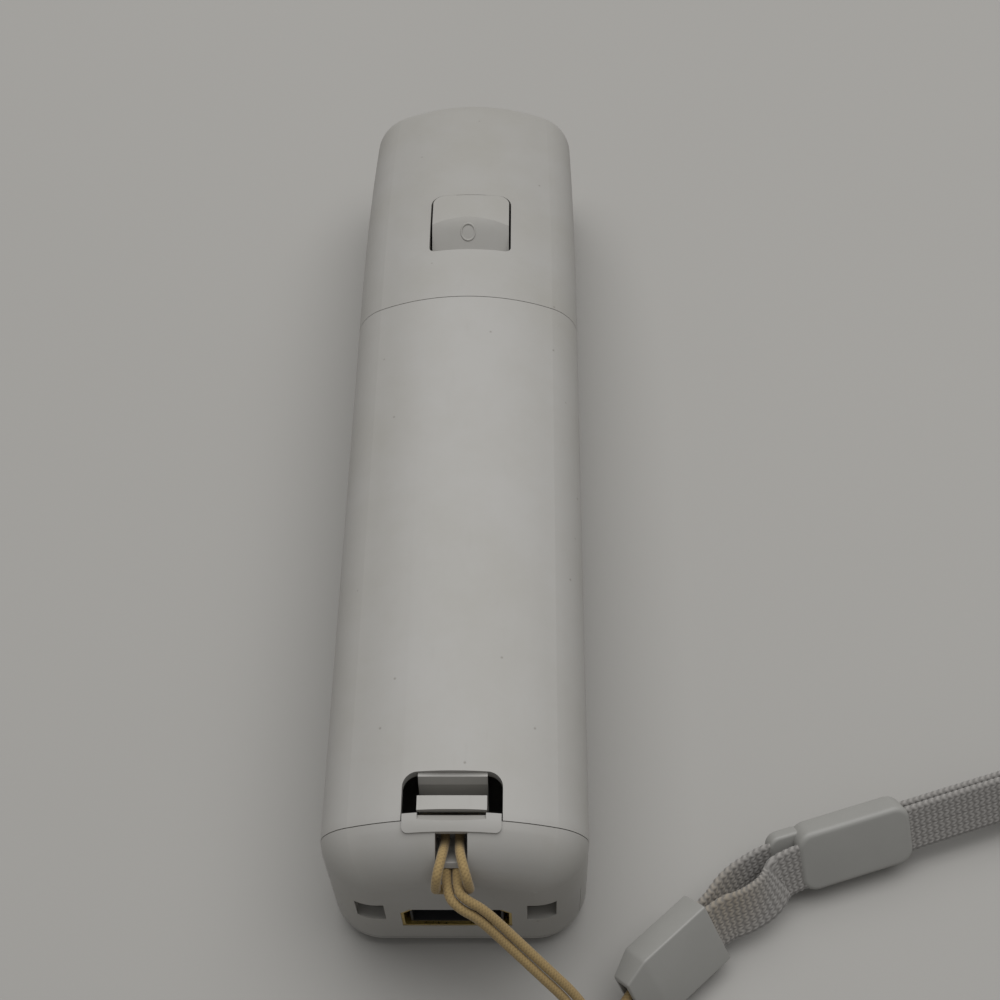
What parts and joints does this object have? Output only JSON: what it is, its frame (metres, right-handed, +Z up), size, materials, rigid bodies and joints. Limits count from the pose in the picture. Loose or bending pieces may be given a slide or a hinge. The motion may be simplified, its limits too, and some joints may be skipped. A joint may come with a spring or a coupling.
{
  "type": "motion controller wand",
  "caption": "Hand-held motion controller wand with a rear trigger, face keys, a battery cover, an expansion port and a wrist strap.",
  "frame": {"origin": "bottom centre of the bounding box of the wand lying face down, measured without the strap", "axes": "+Y towards the sensor window, +Z up from the keys to the battery cover, +X to the right seen from the strap end"},
  "size_m": [0.1398, 0.1658, 0.031],
  "materials": {
    "shell": "satin off-white, lightly scratched",
    "keys": "satin white",
    "clear_key": "clear, glossy",
    "blue_pipe": "clear blue, glossy",
    "rubber_pad": "matt grey silicone",
    "dark_window": "glossy, nearly black",
    "grey_plastic": "matt grey",
    "black_plastic": "matt black",
    "board": "green board lacquer",
    "metal": "plated steel",
    "spring_steel": "drawn wire",
    "gold": "gilt",
    "light": "pale lamp chip",
    "cell_wrap": "printed sleeve, left plain",
    "cord": "braided, tan with wear",
    "band": "woven, grey",
    "weight": "sintered, grey"
  },
  "bodies": {
    "housing": {"front_case": "shell", "rear_case": "shell", "ir_window": "dark_window", "trigger_pin": "metal", "trigger_spring": "spring_steel", "trigger_pad": "rubber_pad", "main_board": "board", "board_screws": "metal", "case_screws": "metal", "radio_module": "metal", "processor_chip": "black_plastic", "motion_sensor": "black_plastic", "memory_chip": "black_plastic", "clock_crystal": "metal", "power_regulator": "black_plastic", "capacitor": "metal", "camera_module": "black_plastic", "camera_lens": "clear_key", "speaker": "black_plastic", "sync_switch": "metal", "expansion_shell": "gold", "expansion_contacts": "gold", "cell_left": "cell_wrap", "cell_right": "cell_wrap", "battery_plates": "metal", "battery_springs": "spring_steel", "rumble_motor": "metal", "motor_cradle": "rubber_pad", "player_lights": "light", "light_pipes": "blue_pipe", "strap_cord_left": "cord", "strap_cord_right": "cord", "strap_cord_hitch": "cord", "strap_joiner": "grey_plastic", "strap_band": "band", "power_pad": "rubber_pad", "direction_contacts": "rubber_pad", "a_pad": "rubber_pad", "minus_pad": "rubber_pad", "home_pad": "rubber_pad", "plus_pad": "rubber_pad", "one_pad": "rubber_pad", "two_pad": "rubber_pad"},
    "battery_cover": {"battery_cover": "shell"},
    "b_trigger": {"b_trigger": "shell"},
    "rotor": {"rumble_shaft": "metal", "rumble_weight": "weight"},
    "sync_button": {"sync_button": "keys"},
    "strap_slider": {"strap_slider": "grey_plastic"},
    "power_button": {"power_button": "keys"},
    "direction_pad": {"direction_pad": "keys"},
    "a_button": {"a_button": "clear_key"},
    "minus_button": {"minus_button": "keys"},
    "home_button": {"home_button": "keys"},
    "plus_button": {"plus_button": "keys"},
    "one_button": {"one_button": "keys"},
    "two_button": {"two_button": "keys"}
  },
  "joints": [
    {"name": "power_button_press", "type": "slide", "parent": "housing", "child": "power_button", "axis": [0, 0, 1], "range_m": [0, 0.0008], "stiffness_N_per_m": 600, "deforming": ["power_pad"]},
    {"name": "direction_pad_press", "type": "slide", "parent": "housing", "child": "direction_pad", "axis": [0, 0, 1], "range_m": [0, 0.0008], "stiffness_N_per_m": 600, "deforming": ["direction_contacts"]},
    {"name": "a_button_press", "type": "slide", "parent": "housing", "child": "a_button", "axis": [0, 0, 1], "range_m": [0, 0.0008], "stiffness_N_per_m": 600, "deforming": ["a_pad"]},
    {"name": "minus_button_press", "type": "slide", "parent": "housing", "child": "minus_button", "axis": [0, 0, 1], "range_m": [0, 0.0008], "stiffness_N_per_m": 600, "deforming": ["minus_pad"]},
    {"name": "home_button_press", "type": "slide", "parent": "housing", "child": "home_button", "axis": [0, 0, 1], "range_m": [0, 0.0008], "stiffness_N_per_m": 600, "deforming": ["home_pad"]},
    {"name": "plus_button_press", "type": "slide", "parent": "housing", "child": "plus_button", "axis": [0, 0, 1], "range_m": [0, 0.0008], "stiffness_N_per_m": 600, "deforming": ["plus_pad"]},
    {"name": "one_button_press", "type": "slide", "parent": "housing", "child": "one_button", "axis": [0, 0, 1], "range_m": [0, 0.0008], "stiffness_N_per_m": 600, "deforming": ["one_pad"]},
    {"name": "two_button_press", "type": "slide", "parent": "housing", "child": "two_button", "axis": [0, 0, 1], "range_m": [0, 0.0008], "stiffness_N_per_m": 600, "deforming": ["two_pad"]},
    {"name": "sync_press", "type": "slide", "parent": "housing", "child": "sync_button", "axis": [0, 0, -1], "range_m": [0, 0.0005], "stiffness_N_per_m": 600},
    {"name": "cover_open", "type": "hinge", "parent": "housing", "child": "battery_cover", "pos_m": [0, 0.02163, 0.0308], "axis": [-1, 0, 0], "range_deg": [0, 70]},
    {"name": "trigger_pull", "type": "hinge", "parent": "housing", "child": "b_trigger", "pos_m": [0.0004, 0.0472, 0.0244], "axis": [1, 0, 0], "range_deg": [0, 6], "stiffness_Nm_per_rad": 0.06},
    {"name": "rotor_spin", "type": "hinge", "parent": "housing", "child": "rotor", "pos_m": [-0.0102, 0.048, 0.0172], "axis": [0, 1, 0], "continuous": true},
    {"name": "slider_along_strap", "type": "slide", "parent": "housing", "child": "strap_slider", "axis": [0.9537, 0.3007, 0], "range_m": [0, 0.016]}
  ]
}
